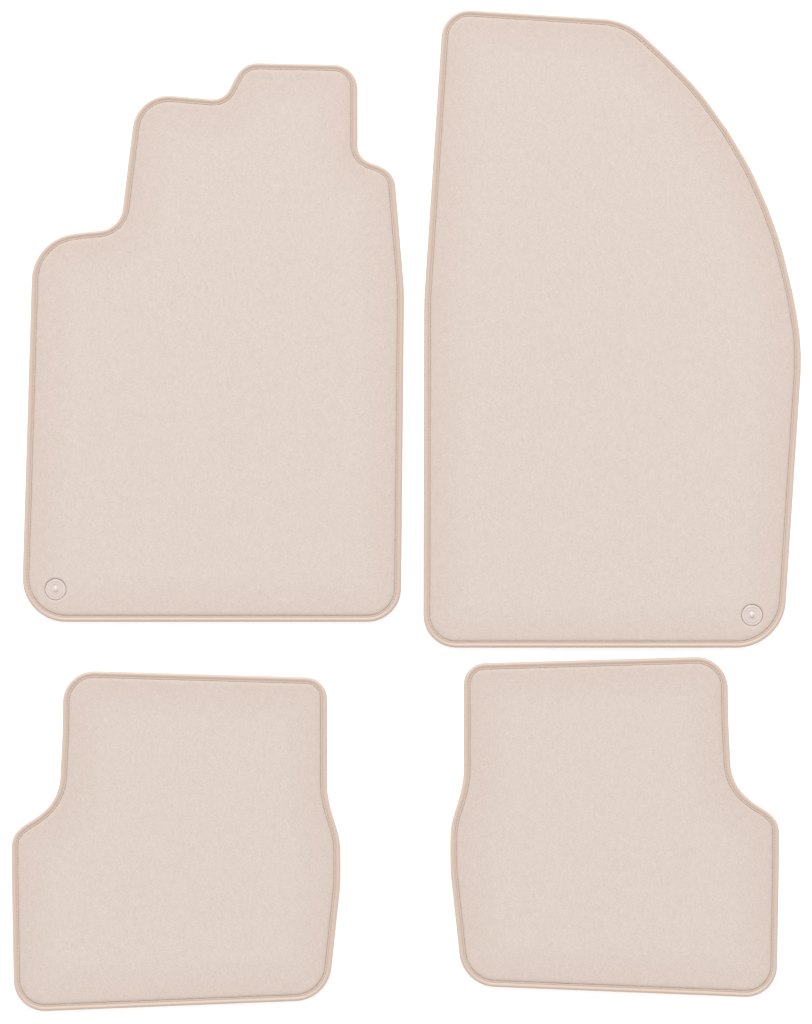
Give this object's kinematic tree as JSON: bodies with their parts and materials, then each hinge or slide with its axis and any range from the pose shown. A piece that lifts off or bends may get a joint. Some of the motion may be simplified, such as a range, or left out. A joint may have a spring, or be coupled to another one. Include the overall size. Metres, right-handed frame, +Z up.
{
  "type": "floor mat set",
  "caption": "Beige velour carpet floor mats for a vehicle: stepped driver's mat, curved-toe passenger's mat and mirrored rear mats, with stitched leatherette edges and heel clip sockets.",
  "frame": {"origin": "on the floor under the middle of the four mats as laid out, at the centre of the layout's bounding box", "axes": "+Z up off the floor, +Y towards the mats' toe ends (the front of the vehicle), +X to the passenger's side"},
  "size_m": [0.9476, 1.2024, 0.0094],
  "materials": {
    "pile": "beige velour pile",
    "primary": "woven primary backing",
    "antislip": "nubbed anti-slip backing",
    "binding": "cream leatherette, fine grain",
    "thread": "bonded sewing thread",
    "clip": "moulded beige plastic"
  },
  "bodies": {
    "driver_mat": {"driver_mat_pile_carpet": "pile", "driver_mat_primary_backing": "primary", "driver_mat_antislip_backing": "antislip", "driver_mat_edge_binding": "binding", "driver_mat_needle_thread": "thread", "driver_mat_bobbin_thread": "thread", "driver_mat_clip_cap": "clip", "driver_mat_clip_ring": "clip"},
    "passenger_mat": {"passenger_mat_pile_carpet": "pile", "passenger_mat_primary_backing": "primary", "passenger_mat_antislip_backing": "antislip", "passenger_mat_edge_binding": "binding", "passenger_mat_needle_thread": "thread", "passenger_mat_bobbin_thread": "thread", "passenger_mat_clip_cap": "clip", "passenger_mat_clip_ring": "clip"},
    "rear_left_mat": {"rear_left_mat_pile_carpet": "pile", "rear_left_mat_primary_backing": "primary", "rear_left_mat_antislip_backing": "antislip", "rear_left_mat_edge_binding": "binding", "rear_left_mat_needle_thread": "thread", "rear_left_mat_bobbin_thread": "thread"},
    "rear_right_mat": {"rear_right_mat_pile_carpet": "pile", "rear_right_mat_primary_backing": "primary", "rear_right_mat_antislip_backing": "antislip", "rear_right_mat_edge_binding": "binding", "rear_right_mat_needle_thread": "thread", "rear_right_mat_bobbin_thread": "thread"}
  },
  "joints": [
    {"name": "lift_passenger_mat", "type": "slide", "parent": "driver_mat", "child": "passenger_mat", "axis": [0, 0, 1], "range_m": [0, 0.15]},
    {"name": "lift_rear_left_mat", "type": "slide", "parent": "driver_mat", "child": "rear_left_mat", "axis": [0, 0, 1], "range_m": [0, 0.15]},
    {"name": "lift_rear_right_mat", "type": "slide", "parent": "driver_mat", "child": "rear_right_mat", "axis": [0, 0, 1], "range_m": [0, 0.15]}
  ]
}
